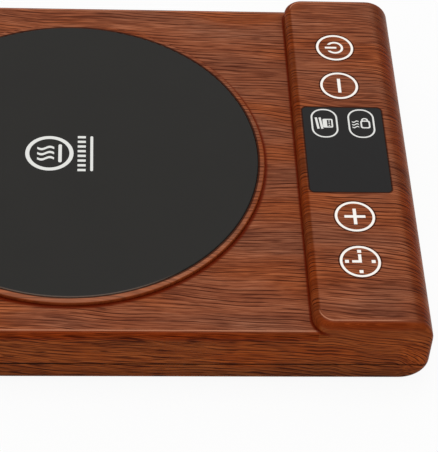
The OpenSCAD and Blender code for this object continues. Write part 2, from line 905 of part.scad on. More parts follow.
module timer_key() { key_cap(-outer_key_x, "timer"); }
module timer_legend() { key_legend(-outer_key_x, "timer"); }
module timer_plunger() { key_plunger(-outer_key_x); }
module plus_key() { key_cap(-inner_key_x, "plus"); }
module plus_legend() { key_legend(-inner_key_x, "plus"); }
module plus_plunger() { key_plunger(-inner_key_x); }
module minus_key() { key_cap(inner_key_x, "minus"); }
module minus_legend() { key_legend(inner_key_x, "minus"); }
module minus_plunger() { key_plunger(inner_key_x); }
module power_key() { key_cap(outer_key_x, "power"); }
module power_legend() { key_legend(outer_key_x, "power"); }
module power_plunger() { key_plunger(outer_key_x); }

// ---------------------------------------------------------------- control board

module control_board() {
    color(board_green) difference() {
        block(0, y_control, z_control, control_w, control_d, board_t);
        at_control_screws() rod(0, 0, z_control - cut, small_screw_d / 2 + 0.2, board_t + 2 * cut);
    }
}

module control_board_screws() {
    color("silver") at_control_screws() translate([0, 0, z_control]) small_screw(board_t + board_bite);
}

module control_chip() {
    color("#141414") {
        block(chip_x, y_control, z_control - 1.1, chip_w, chip_w, 0.9);
        for (a = [0 : 90 : 270], i = [-2 : 2]) translate([chip_x, y_control, 0]) rotate(a)
            block(chip_w / 2 + 0.4, 1.2 * i, z_control - 0.6, 1.6, 0.5, 0.6);
    }
}

module tact_switches() {
    color("#3a3a3c") at_keys() difference() {
        block(0, 0, z_lights, switch_w, switch_w, z_switch_top - z_lights);
        rod(0, 0, z_switch_bore, plunger_r + key_gap, 6);
    }
}

// ---------------------------------------------------------------- power board

module power_board() {
    color(board_green) difference() {
        block(0, y_power, z_power, power_w, power_d, board_t);
        at_power_screws() rod(0, 0, z_power - cut, small_screw_d / 2 + 0.2, board_t + 2 * cut);
    }
}

module power_board_screws() {
    color("silver") at_power_screws() translate([0, 0, z_power_top]) mirror([0, 0, 1])
        small_screw(board_t + power_lift - 0.4);
}

module transformer() {
    color("#3b3330") {
        block(transformer_x, y_power, z_power_top, core_w, core_d, tall_part * 0.3);
        block(transformer_x, y_power, z_power_top + tall_part * 0.75, core_w, core_d, tall_part * 0.25);
        for (s = [-1, 1]) block(transformer_x, y_power + s * (core_d - core_leg) / 2,
            z_power_top, core_w, core_leg, tall_part);
    }
    color("#c9a227") block(transformer_x, y_power, z_power_top + tall_part * 0.3, core_w - core_leg,
        core_d - 2 * core_leg, tall_part * 0.45);
}

module film_capacitor() {
    color("#b8a24a") block(film_x, y_power - film_back, z_power_top, film_w, film_d, tall_part);
}

module smoothing_capacitor() {
    can_r = tall_part / 2;
    color("#26304a") translate([can_x, y_power - can_l / 2, z_power_top + can_r]) rotate([-90, 0, 0]) difference() {
        cylinder(r = can_r, h = can_l);
        translate([0, 0, 1.4]) difference() {
            cylinder(r = can_r + cut, h = 0.8);
            cylinder(r = can_r - 0.35, h = 0.8);
        }
    }
}

module power_relay() {
    color("#2f5fa8") block(relay_x, y_power, z_power_top, relay_w, relay_d, tall_part);
}

module mains_fuse() {
    z_fuse = z_power_top + fuse_r + fuse_lift;
    color("#cfd6d8") translate([fuse_x, y_power, z_fuse]) rotate([90, 0, 0])
        translate([0, 0, -fuse_l / 2]) {
            cylinder(r = fuse_r - 0.2, h = fuse_l);
            for (z = [0, fuse_l - fuse_cap]) translate([0, 0, z]) cylinder(r = fuse_r, h = fuse_cap);
        }
}

module fuse_holder() {
    color("#c9b26a") for (s = [-1, 1]) translate([fuse_x, y_power + s * holder_y, z_power_top]) difference() {
        block(0, 0, 0, holder_w, holder_d, fuse_lift + fuse_r * 1.5);
        translate([0, -holder_d, fuse_r + fuse_lift]) rotate([-90, 0, 0])
            cylinder(r = fuse_r + slack, h = 2 * holder_d);
        block(0, 0, fuse_r + fuse_lift, fuse_r * 1.6, holder_d + cut, 2 * fuse_r);
    }
}

module terminal_block() {
    color("#3f7d4a") difference() {
        block(block_x, y_power, z_power_top, block_w, block_d, tall_part);
        for (i = [-1 : 1]) {
            translate([block_x + block_w / 2 + cut, y_power + way_pitch * i, z_power_top + tall_part / 3])
                rotate([0, -90, 0]) cylinder(r = way_r, h = block_w / 2 + cut);
            rod(block_x, y_power + way_pitch * i, z_power_top + tall_part * 0.75, way_r, tall_part);
        }
    }
}

// Flat cable with a plug at each end, between the two boards
module ribbon_cable() {
    cable_w = 12;
    cable_t = 0.9;
    plug_d = 3.4;
    plug_h = 2.4;
    cable_x = -22;
    cable_y = y_control + control_d / 2 - 3;
    z_low = z_power_top;
    z_high = z_control;
    color("#e4e0d6") {
        block(cable_x, cable_y, z_low, cable_w + 2, plug_d, plug_h);
        block(cable_x, cable_y, z_high - plug_h, cable_w + 2, plug_d, plug_h);
    }
    color("#9aa3b0") block(cable_x, cable_y, z_low + plug_h, cable_w, cable_t,
        z_high - z_low - 2 * plug_h);
}

// ---------------------------------------------------------------- wires

// Two leads from the relay's side of the power board to the heater's terminals
module heater_leads() {
    steps = 14;
    lead_y = y_power + power_d / 2 - 3;
    y_end = y_plate + terminal_y - terminal_w / 4;
    z_end = z_clamp - terminal_h / 2;
    stub = 1.2;
    plug_in = terminal_w / 2;
    color("#d9d4c8") for (s = [-1, 1]) {
        start = [relay_x + s * 3, lead_y, z_power_top];
        a = start + [0, 0, stub];
        d = [s * terminal_pitch / 2, y_end - plug_in, z_end];
        tube(concat([start], [for (i = [0 : steps]) bezier(a, a + [0, 0, 4], d - [0, 10, 0], d, i / steps)],
            [d + [0, plug_in, 0]]), lead_r);
    }
}

// Two thin leads from the sensor to the control board
module sensor_leads() {
    thin = 0.6;
    color("#b8332a") for (s = [-1, 1]) {
        a = [s * 1, y_plate, z_clamp - clip_pad - clip_t - thin];
        b = [s * 1 - 12, y_control + control_d / 2 - 2, z_control - thin];
        tube([for (i = [0 : 16]) bezier(a, a + [-16, -14, -2], b + [0, 14, -5], b, i / 16)], thin);
    }
}

// ---------------------------------------------------------------- cord entry

module cord_bush() {
    color("#161616") difference() {
        union() {
            at_cord(y_back) cylinder(r = bush_d / 2, h = bush_flange_t);
            at_cord(y_back) cylinder(r = bush_neck_r, h = wall + bush_tail);
            at_cord(y_back - wall - bush_play) cylinder(r = bush_d / 2, h = bush_flange_t);
        }
        at_cord(y_back + cut) cylinder(r = cord_r, h = wall + bush_tail + 2 * cut);
    }
}

module cord_clamp() {
    z_bar = z_cord + cord_r;
    color("#e6e3da") difference() {
        block(0, y_cord_clamp, z_bar, 2 * clamp_post_x + 7, cord_clamp_w, cord_clamp_t);
        for (s = [-1, 1]) rod(s * clamp_post_x, y_cord_clamp, z_bar - cut, small_screw_d / 2 + 0.2,
            cord_clamp_t + 2 * cut);
    }
}

module cord_clamp_screws() {
    color("silver") for (s = [-1, 1])
        translate([s * clamp_post_x, y_cord_clamp, z_cord + cord_r + cord_clamp_t]) mirror([0, 0, 1])
            small_screw(cord_clamp_t + cord_bite);
}

// ---------------------------------------------------------------- feet and casing screws

module rubber_feet() {
    color("#1a1a1a") at_feet() rotate_extrude() translate([0, foot_drop + foot_recess]) mirror([0, 1])
        shoulder(foot_d / 2, foot_drop + foot_recess, 0.6);
}

module housing_screws() {
    color("silver") at_case_posts() translate([0, 0, z_case_head])
        screw(case_screw_d, case_head_r, case_head_t, z_case_post - z_case_head + case_screw_reach - 0.5);
}

top_housing();
bottom_housing();
heating_plate();
plate_marking();
plate_seal();
heating_element();
insulation_pad();
heater_clamp_plate();
heater_clamp_screws();
heater_terminals();
temperature_sensor();
sensor_clip();
thermal_fuse();
fuse_clip();
display_window();
window_icons();
window_tape();
display_module();
icon_light_box();
indicator_leds();
control_board();
control_board_screws();
control_chip();
tact_switches();
power_key();
power_legend();
power_plunger();
minus_key();
minus_legend();
minus_plunger();
plus_key();
plus_legend();
plus_plunger();
timer_key();
timer_legend();
timer_plunger();
power_board();
power_board_screws();
power_relay();
transformer();
film_capacitor();
smoothing_capacitor();
mains_fuse();
fuse_holder();
terminal_block();
ribbon_cable();
heater_leads();
sensor_leads();
cord_bush();
cord_clamp();
cord_clamp_screws();
rubber_feet();
housing_screws();
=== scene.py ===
import bpy
import bmesh
import json
from math import pi, radians, tau
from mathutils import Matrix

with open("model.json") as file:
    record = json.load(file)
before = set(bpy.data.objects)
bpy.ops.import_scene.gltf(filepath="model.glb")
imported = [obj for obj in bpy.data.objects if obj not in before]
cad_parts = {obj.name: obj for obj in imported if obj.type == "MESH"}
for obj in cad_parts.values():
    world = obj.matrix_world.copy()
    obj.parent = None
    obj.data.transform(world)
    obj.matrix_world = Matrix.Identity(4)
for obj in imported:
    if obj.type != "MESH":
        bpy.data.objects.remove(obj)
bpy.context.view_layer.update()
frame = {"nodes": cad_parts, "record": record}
slotOf = {part["node"]: part["material_slot"] for part in frame["record"]["subparts"]}
print("frame loaded:", len(frame["nodes"]), "nodes")


# Short ways to wire shader nodes

def srgb(red, green, blue):
    channels = [value / 255 for value in (red, green, blue)]
    linear = [c / 12.92 if c <= 0.04045 else ((c + 0.055) / 1.055) ** 2.4 for c in channels]
    return (*linear, 1.0)


def plug(tree, socket, value):
    if isinstance(value, bpy.types.NodeSocket):
        tree.links.new(value, socket)
    else:
        socket.default_value = value


def addNode(tree, kind, inputs=None, **settings):
    node = tree.nodes.new(kind)
    for name, value in settings.items():
        setattr(node, name, value)
    for name, value in (inputs or {}).items():
        plug(tree, node.inputs[name], value)
    return node


def calc(tree, operation, *values, clamp=False):
    inputs = {index: value for index, value in enumerate(values)}
    return addNode(tree, "ShaderNodeMath", inputs, operation=operation, use_clamp=clamp).outputs[0]


def vectorMath(tree, operation, first, second):
    node = addNode(tree, "ShaderNodeVectorMath", {0: first}, operation=operation)
    plug(tree, node.inputs["Scale" if operation == "SCALE" else 1], second)
    return node.outputs[0]


def remap(tree, value, low, high, toLow=0.0, toHigh=1.0):  # eased from low to high, flat outside
    return addNode(tree, "ShaderNodeMapRange", {0: value, 1: low, 2: high, 3: toLow, 4: toHigh},
                   interpolation_type="SMOOTHSTEP").outputs[0]


def fade(tree, value, low, high):  # the other way round: one at low, nothing at high
    return remap(tree, value, low, high, 1.0, 0.0)


def product(tree, first, *others):
    for other in others:
        first = calc(tree, "MULTIPLY", first, other)
    return first


def mixColour(tree, factor, first, second, blend="MIX"):
    node = addNode(tree, "ShaderNodeMix", {0: factor, 6: first, 7: second},
                   data_type="RGBA", blend_type=blend)
    return node.outputs[2]


def tinted(tree, amount, colour, tint):
    return mixColour(tree, amount, colour, mixColour(tree, 1.0, colour, tint, "MULTIPLY"))


def split(tree, vector):
    return addNode(tree, "ShaderNodeSeparateXYZ", {0: vector}).outputs


def join(tree, x, y, z):
    return addNode(tree, "ShaderNodeCombineXYZ", {0: x, 1: y, 2: z}).outputs[0]


def noise(tree, vector, scale, detail=2.0, roughness=0.5, distortion=0.0):
    return addNode(tree, "ShaderNodeTexNoise", {
        "Vector": vector, "Scale": scale, "Detail": detail, "Roughness": roughness,
        "Distortion": distortion}).outputs["Fac"]


def stretched(tree, vector, across, along, **settings):  # noise drawn out along Y
    scaled = vectorMath(tree, "MULTIPLY", vector, (across, along, across))
    return noise(tree, scaled, 1.0, **settings)


def ramp(tree, factor, stops):
    node = addNode(tree, "ShaderNodeValToRGB", {0: factor})
    points = node.color_ramp.elements
    while len(points) < len(stops):
        points.new(0.5)
    for point, (place, colour) in zip(points, stops):
        point.position = place
        point.color = colour
    return node.outputs[0]


def newGroup(name, inputs, outputs):
    group = bpy.data.node_groups.new(name, "ShaderNodeTree")
    for label, kind, value in inputs:
        socket = group.interface.new_socket(label, in_out="INPUT",
                                            socket_type="NodeSocket" + kind)
        if value is not None:
            socket.default_value = value
    for label, kind in outputs:
        group.interface.new_socket(label, in_out="OUTPUT", socket_type="NodeSocket" + kind)
    inside = group.nodes.new("NodeGroupInput").outputs
    return group, inside, group.nodes.new("NodeGroupOutput").inputs


finishOutputs = [("Color", "Color"), ("Roughness", "Float"), ("Height", "Float")]


def newMaterial(name):
    material = bpy.data.materials.new(name)
    material.use_nodes = True
    tree = material.node_tree
    place = tree.nodes.new("ShaderNodeTexCoord").outputs["Object"]
    return material, tree, tree.nodes["Principled BSDF"], place


def useGroup(tree, group, **values):
    node = addNode(tree, "ShaderNodeGroup", node_tree=group)
    for label, value in values.items():
        plug(tree, node.inputs[label], value)
    return node.outputs


def inMillimetres(tree, place):
    return split(tree, vectorMath(tree, "SCALE", place, 1000.0))


def finishWith(tree, surface, outputs, depth, coat=0.0, coatRoughness=0.1, specular=0.5):
    plug(tree, surface.inputs["Base Color"], outputs["Color"])
    plug(tree, surface.inputs["Roughness"], outputs["Roughness"])
    bump = addNode(tree, "ShaderNodeBump", {"Height": outputs["Height"], "Distance": depth})
    tree.links.new(bump.outputs[0], surface.inputs["Normal"])
    surface.inputs["Specular IOR Level"].default_value = specular
    surface.inputs["Coat Weight"].default_value = coat
    surface.inputs["Coat Roughness"].default_value = coatRoughness


# Printed wood grain. It runs front to back, turns down over the nose of the key strip and
# follows the small riser behind it. All lengths and places are in millimetres.

wood = {
    "top": 28.0, "main": 22.8,              # heights of the strip's top and of the main top
    "stepY": (-57.2, -57.0),                # where the one gives way to the other
    "nose": (-91.8, -81.0), "riser": (-62.0, -57.0), "tail": (87.0, 91.8), "wall": (71.2, 72.9),
    "arcY": -80.5, "arcZ": 3.0,             # middle of the arcs under the nose
    "seam": 9.0,                            # the arcs stop here
    "start": (150.0, -70.0, 0.0),           # which part of the endless print the top shows
    "sway": 5.5, "swayScale": (0.03, 0.017, 0.0),       # slow wandering of the lines
    "ripple": 0.4, "rippleScale": (0.22, 0.08, 0.0),    # and quick
    # pairs named Lean or Ink hold one value for the top and one for the side walls
    "lineLean": (0.07, 0.09), "lineInk": (0.9, 1.0), "hairInk": (0.5, 0.6), "fleckInk": (0.5, 0.9),
    "linesPerMm": 0.69, "lineDrift": 1.2, "lineCut": (0.45, 0.95),
    "hairsPerMm": 1.27, "hairDrift": 1.8, "hairCut": (0.2, 0.95),
    "drift": (0.11, 0.02), "lineBreak": (0.40, 0.56), "hairBreak": (0.40, 0.58, 1.0, 0.25),
    # noises drawn out along the grain: scale across it and along it
    "streak": (1.6, 0.085), "break": (0.46, 0.05), "band": (0.20, 0.016), "patch": (0.07, 0.022),
    "fleck": (2.1, 0.11), "fleckCut": (0.58, 0.68),
    "edgeFlecks": 0.07, "edgeReach": (3.5, 6.0),        # more flecks close under an upper edge
    "bandShare": 0.3, "orangeFrom": (0.50, 0.66), "brownFrom": (0.34, 0.50),
    "line": srgb(62, 22, 9), "hair": srgb(80, 34, 17),
    "deep": srgb(107, 55, 36), "dark": srgb(133, 72, 47),
    "mid": srgb(151, 86, 57), "light": srgb(170, 104, 74),
    "stops": {"deep": 0.36, "dark": 0.45, "mid": 0.53, "light": 0.66},
    "orange": (1.08, 0.93, 0.72, 1.0), "brown": (0.90, 1.0, 1.12, 1.0),
    "hairDepth": 0.6, "streakHeight": 0.3, "roughness": (0.30, 0.40),
}


def longest(group, first, second):
    first, second = [calc(group, "POWER", length, 2.0) for length in (first, second)]
    return calc(group, "SQRT", calc(group, "ADD", first, second))


def wander(group, place, scale, reach):  # moves a point sideways by a slow noise
    slow = vectorMath(group, "MULTIPLY", place, scale)
    colour = addNode(group, "ShaderNodeTexNoise", {
        "Vector": slow, "Scale": 1.0, "Detail": 1.0}).outputs["Color"]
    offset = vectorMath(group, "MULTIPLY", vectorMath(group, "SUBTRACT", colour, (0.5, 0.5, 0.5)),
                        (reach * 2, 0.0, reach * 2))
    return vectorMath(group, "ADD", place, offset)


def grainLines(group, place, across, perMm, drift, low, high):  # thin lines that waver and break
    shift = stretched(group, place, *wood["drift"], detail=2.0)
    turns = calc(group, "ADD", product(group, across, perMm), product(group, shift, drift))
    wave = calc(group, "SINE", product(group, turns, tau))
    return remap(group, wave, low, high)


def buildGrain():
    group, inside, out = newGroup("woodGrain", [
        ("Position", "Vector", None), ("Shade", "Float", 1.0)], finishOutputs)
    x, y, z = inMillimetres(group, inside["Position"])
    fall = calc(group, "SUBTRACT", z, wood["top"])
    nose = fade(group, y, *wood["nose"])
    behind = remap(group, y, *wood["riser"])
    tail = remap(group, y, *wood["tail"])
    step = product(group, calc(group, "MAXIMUM", fall, wood["main"] - wood["top"]), behind)
    bend = calc(group, "SUBTRACT", product(group, fall, nose), product(group, fall, tail))
    along = calc(group, "ADD", y, calc(group, "ADD", bend, step))
    # on the side walls the lines lie level and turn down in arcs under the nose
    ahead = calc(group, "MAXIMUM", calc(group, "SUBTRACT", wood["arcY"], y), 0.0)
    ahead = product(group, ahead, calc(group, "GREATER_THAN", z, wood["seam"]))
    arc = longest(group, ahead, calc(group, "SUBTRACT", z, wood["arcZ"]))
    depth = calc(group, "SUBTRACT", arc, wood["top"] - wood["arcZ"])
    onSide = remap(group, calc(group, "ABSOLUTE", x), *wood["wall"])

    def topOrSide(name):
        return remap(group, onSide, 0.0, 1.0, *wood[name])

    across = calc(group, "ADD", x, product(group, depth, onSide))
    drawn = vectorMath(group, "ADD", join(group, across, along, 0.0), wood["start"])
    drawn = wander(group, drawn, wood["swayScale"], wood["sway"])
    drawn = wander(group, drawn, wood["rippleScale"], wood["ripple"])
    u, v = split(group, drawn)[:2]
    across = calc(group, "SUBTRACT", u, product(group, v, topOrSide("lineLean")))
    drawn = join(group, across, v, 0.0)

    streak = stretched(group, drawn, *wood["streak"], detail=3.0, roughness=0.6)
    gaps = stretched(group, drawn, *wood["break"], detail=2.0)
    band = stretched(group, drawn, *wood["band"], detail=2.0)
    patch = stretched(group, drawn, *wood["patch"], detail=1.0)
    lines = grainLines(group, drawn, across, wood["linesPerMm"], wood["lineDrift"],
                       *wood["lineCut"])
    lines = product(group, lines, remap(group, gaps, *wood["lineBreak"]))
    hairs = grainLines(group, drawn, across, wood["hairsPerMm"], wood["hairDrift"],
                       *wood["hairCut"])
    hairs = product(group, hairs, remap(group, gaps, *wood["hairBreak"]))
    level = remap(group, y, *wood["stepY"], wood["top"], wood["main"])
    close = fade(group, calc(group, "SUBTRACT", level, z), *wood["edgeReach"])
    close = product(group, close, onSide)
    fleck = calc(group, "ADD", stretched(group, drawn, *wood["fleck"], detail=1.0),
                 product(group, close, wood["edgeFlecks"]))
    fleck = product(group, remap(group, fleck, *wood["fleckCut"]), topOrSide("fleckInk"))

    ground = calc(group, "ADD", product(group, band, wood["bandShare"]),
                  product(group, streak, 1.0 - wood["bandShare"]))
    colour = ramp(group, ground, [(at, wood[shade]) for shade, at in wood["stops"].items()])
    colour = tinted(group, remap(group, patch, *wood["orangeFrom"]), colour, wood["orange"])
    colour = tinted(group, fade(group, patch, *wood["brownFrom"]), colour, wood["brown"])
    colour = mixColour(group, product(group, hairs, topOrSide("hairInk")), colour, wood["hair"])
    colour = mixColour(group, product(group, lines, topOrSide("lineInk")), colour, wood["line"])
    colour = mixColour(group, fleck, colour, wood["line"])
    shade = join(group, inside["Shade"], inside["Shade"], inside["Shade"])
    plug(group, out["Color"], mixColour(group, 1.0, colour, shade, "MULTIPLY"))
    ink = calc(group, "MAXIMUM", lines, product(group, hairs, wood["hairDepth"]))
    plug(group, out["Roughness"], remap(group, ink, 0.0, 1.0, *wood["roughness"]))
    raised = product(group, streak, wood["streakHeight"])
    plug(group, out["Height"], calc(group, "SUBTRACT", raised, ink))
    return group


# Masks by the shape under the print, in millimetres: painted shade in creases, slits, on walls and
# over the nose, painted highlights on crests and the rim, and where the print ends inside

creases = {
    # pairs are where a mask begins and where it is full, or the other way round
    # the casing's side, and the painted shade line along the seam
    "side": 73.0, "seamZ": 9.1, "seamWidth": (0.20, 0.40),
    "seamFades": (14.0, 22.0, 0.4, 1.0),    # two places along the side, then the strength there
    # the rim round the plate: a painted shade line at its foot, a painted highlight on its near
    # top, painted shade in the slit to the plate
    "plateY": 17.4, "rimRadius": 62.15,
    "rimFoot": (0.68, 1.3),                 # the foot line's scale on the ground and up the rim
    "rimFlat": (-0.30, -0.05), "rimTop": (24.05, 24.2), "rimNear": (-50.0, -15.0),
    "rimWall": (0.12, 0.4), "rimWallFoot": (0.0, 0.3),
    "plateGap": (-1.9, -1.6), "gapTop": (23.5, 24.0), "gapWider": 0.3, "plateHighlightFrom": (-58.0, -49.0),
    # the key strip's outline, and the painted shade line at its foot
    "cornerX": 66.7, "cornerY": -61.6, "cornerRadius": 6.3,
    "footReach": (0.3, 1.0), "footFrom": (0.0, 3.0), "footTop": (22.0, 22.5),
    # keys and window, with painted shade in the slits round them
    "keyX": (29.5, 48.1), "keyY": -71.1, "keyRadius": 6.6, "keyGap": (0.05, 0.28),
    "windowY": -70.9, "windowHalf": (17.5, 11.5), "windowRadius": 1.6, "windowGap": (0.20, 0.60),
    "stripTop": (27.4, 27.8),
    # walls and rounded edges, where painted shade tints the print; a flat top has the steepness 1,
    # a wall 0
    "steep": (0.80, 0.97), "edgeSteep": (0.92, 0.98), "edgeReach": (2.2, 3.1),
    "edgeAtNose": (-86.0, -80.0, 0.6, 1.0),
    "riserBand": (-2.45, -1.65), "riserOut": (0.05, 0.15), "riserFrom": (0.5, 2.5),
    "riserFoot": (22.2, 22.7), "riserEnd": (69.0, 71.5),
    # the strip's corner by the riser, where the grain is calmed to a plain tone
    "cornerBand": (-2.8, -2.2), "cornerOut": (0.1, 0.4), "cornerFrom": (65.5, 68.0),
    "cornerFoot": (21.5, 22.5),
    # the nose: painted shade over its rounded top, a painted reflection at its tip
    "nose": (-88.0, -84.0), "noseFoot": (18.0, 24.0), "noseEnd": (70.0, 72.5),
    "noseReflection": (-91.2, -89.6),
    # the painted highlight line along the crests
    "crestIn": (-2.0, -1.85), "crestOut": (-1.65, -1.45), "crestSteep": (0.80, 0.90),
    "crestEnd": (66.5, 69.5), "crestFrom": (-84.0, -78.0), "onStrip": (24.5, 26.0),
    # what counts as inside
    "middleZ": 12.0, "inwards": (-0.5, 0.0), "downwards": (-0.95, -0.85),
    "underTop": (21.5, 22.0), "coreX": (69.5, 70.0), "coreY": (85.5, 86.0), "coreZ": (2.6, 2.8),
}
creaseMasks = ("FootShade", "GapShade", "Side", "EdgeShade", "CrestHighlight", "RimHighlight", "RimWall", "RiserShade", "Corner",
               "NoseShade", "NoseReflection", "Inside")


def buildCreases():
    group, inside, out = newGroup("printCreases", [
        ("Position", "Vector", None), ("Facing", "Vector", None)],
        [(label, "Float") for label in creaseMasks])
    x, y, z = inMillimetres(group, inside["Position"])
    up = split(group, inside["Facing"])[2]
    sideX = calc(group, "ABSOLUTE", x)

    def given(kind, value, name):  # remap or fade between two values of the dictionary
        return kind(group, value, *creases[name])

    def beyond(value, limit):
        return calc(group, "SUBTRACT", value, limit)

    def positive(value):
        return calc(group, "MAXIMUM", value, 0.0)

    # painted shade: dark lines in the crease at the foot of the plate's rim and of the strip's
    # riser
    above = positive(beyond(z, wood["main"]))
    rimOut = beyond(longest(group, x, beyond(y, creases["plateY"])), creases["rimRadius"])
    groundScale, wallScale = creases["rimFoot"]
    rimFoot = longest(group, product(group, positive(rimOut), groundScale),
                      product(group, above, wallScale))
    stepY = beyond(y, creases["cornerY"])
    stepOut = longest(group, positive(beyond(sideX, creases["cornerX"])), positive(stepY))
    stepOut = beyond(stepOut, creases["cornerRadius"])
    stepFoot = longest(group, positive(stepOut), above)
    stepHere = product(group, given(remap, stepY, "footFrom"), given(remap, z, "footTop"))
    riserFootShade = product(group, given(fade, stepFoot, "footReach"), stepHere)
    plug(group, out["FootShade"], calc(group, "MAXIMUM", given(fade, rimFoot, "footReach"), riserFootShade))

    # painted shade: thin dark lines in the slits round the keys, the window and the plate, and
    # along the seam
    keyY = beyond(y, creases["keyY"])
    away = [calc(group, "ABSOLUTE", beyond(longest(group, beyond(sideX, keyX), keyY),
                                           creases["keyRadius"])) for keyX in creases["keyX"]]
    keyGap = given(fade, calc(group, "MINIMUM", *away), "keyGap")
    halfX, halfY = creases["windowHalf"]
    fromMiddle = calc(group, "ABSOLUTE", beyond(y, creases["windowY"]))
    window = longest(group, positive(beyond(sideX, halfX)), positive(beyond(fromMiddle, halfY)))
    window = calc(group, "ABSOLUTE", beyond(window, creases["windowRadius"]))
    gaps = product(group, calc(group, "MAXIMUM", keyGap, given(fade, window, "windowGap")),
                   given(remap, z, "stripTop"))
    seam = given(fade, calc(group, "ABSOLUTE", beyond(z, creases["seamZ"])), "seamWidth")
    seam = product(group, seam, given(remap, y, "seamFades"))
    # the plate's shade line is thin at the near end, where the plate's painted highlight runs
    # beside it
    wider = remap(group, x, *creases["plateHighlightFrom"], 0.0, creases["gapWider"])
    plateGap = product(group, given(fade, beyond(rimOut, wider), "plateGap"),
                       given(remap, z, "gapTop"))
    gaps = calc(group, "MAXIMUM", gaps, seam)
    plug(group, out["GapShade"], calc(group, "MAXIMUM", gaps, plateGap))

    # painted shade: walls and rounded edges tinted darker and more saturated, as where little
    # light is reflected
    plug(group, out["Side"], given(fade, up, "steep"))
    level = remap(group, y, *wood["stepY"], wood["top"], wood["main"])
    edge = product(group, given(fade, calc(group, "SUBTRACT", level, z), "edgeReach"),
                   given(fade, up, "edgeSteep"))
    plug(group, out["EdgeShade"], product(group, edge, given(remap, y, "edgeAtNose")))
    # painted shade: the riser behind the strip tinted darker
    plug(group, out["RiserShade"], product(
        group, given(remap, stepOut, "riserBand"), given(remap, stepY, "riserFrom"),
        given(remap, z, "riserFoot"), given(fade, stepOut, "riserOut"),
        given(fade, sideX, "riserEnd")))
    plug(group, out["Corner"], product(
        group, given(remap, stepOut, "cornerBand"), given(remap, z, "cornerFoot"),
        given(fade, stepOut, "cornerOut"), given(remap, sideX, "cornerFrom")))
    # painted shade: a darker band over the strip's rounded nose; painted reflection: a paler,
    # bluer one below it
    plug(group, out["NoseShade"], product(
        group, given(fade, y, "nose"), given(remap, z, "noseFoot"), given(fade, sideX, "noseEnd")))
    plug(group, out["NoseReflection"], given(fade, y, "noseReflection"))

    # painted highlight: a pale line where the flat tops meet their rounded edges, and on the near
    # part of the rim's top
    onStrip = given(remap, z, "onStrip")
    outward = calc(group, "ADD", product(group, stepOut, onStrip),
                   product(group, beyond(sideX, creases["side"]), beyond(1.0, onStrip)))
    plug(group, out["CrestHighlight"], product(
        group, given(remap, outward, "crestIn"), given(fade, outward, "crestOut"),
        given(remap, up, "crestSteep"), given(remap, sideX, "crestEnd"),
        given(remap, y, "crestFrom")))
    plug(group, out["RimHighlight"], product(
        group, given(fade, rimOut, "rimFlat"), given(remap, z, "rimTop"),
        given(fade, x, "rimNear")))
    # the rim's wall, laid over with a flat orange brown
    wall = given(fade, calc(group, "ABSOLUTE", rimOut), "rimWall")
    plug(group, out["RimWall"], product(group, wall, given(remap, above, "rimWallFoot")))

    # faces that look inwards or down, and whatever stands in the middle of the casing
    fromCentre = join(group, x, y, beyond(z, creases["middleZ"]))
    looking = addNode(group, "ShaderNodeVectorMath", {0: inside["Facing"], 1: fromCentre},
                      operation="DOT_PRODUCT").outputs["Value"]
    core = product(group, given(fade, sideX, "coreX"),
                   given(fade, calc(group, "ABSOLUTE", y), "coreY"), given(remap, z, "coreZ"))
    within = calc(group, "MAXIMUM", given(fade, looking, "inwards"), core)
    within = product(group, within, given(fade, z, "underTop"))
    within = calc(group, "MAXIMUM", within, given(fade, up, "downwards"))
    plug(group, out["Inside"], product(group, within, beyond(1.0, seam)))
    return group


woodGrain = buildGrain()
printCreases = buildCreases()

printed = {
    # painted shade and a painted reflection, multiplied onto the grain's colours
    "side": (1.10, 0.85, 0.42, 1.0), "edge": (0.88, 0.62, 0.45, 1.0),
    "noseShadeTint": (0.64, 0.58, 0.48, 1.0), "noseReflection": (0.92, 1.02, 1.30, 1.0),
    "riserShadeWall": (0.96, 0.62, 0.31, 1.0), "riserShadeTop": (0.64, 0.42, 0.20, 1.0),
    # laid over them, and how strongly: a flat orange brown for the rim's wall, a painted
    # highlight, painted shade at the feet and in the slits; the corner strength calms the grain
    "rimWall": srgb(136, 68, 34), "paintedHighlight": srgb(214, 146, 112),
    "foot": srgb(98, 23, 1), "gap": srgb(42, 16, 9),
    "strength": {"Corner": 0.6, "RimWall": 0.6, "CrestHighlight": 0.55, "RimHighlight": 0.2,
                 "FootShade": 0.9, "GapShade": 0.85},
    "depth": 0.00003, "specular": 0.02,
}

# The print covers the outside only, down to the rounded foot of the lower shell
shell = {
    # painted shade: the lower shell turns darker towards its foot, where its rounding faces the
    # floor
    "shadeTowardsFoot": (0.0025, 0.0088, 0.62, 1.0),  # two heights in metres, then the shades there
    "filmEnd": (0.0016, 0.0025),            # heights in metres
    "bare": srgb(52, 32, 22), "roughness": 0.55, "variation": 0.1, "scale": 1500.0,
    "duller": 0.25,                         # how much rougher bare plastic is than the print
}


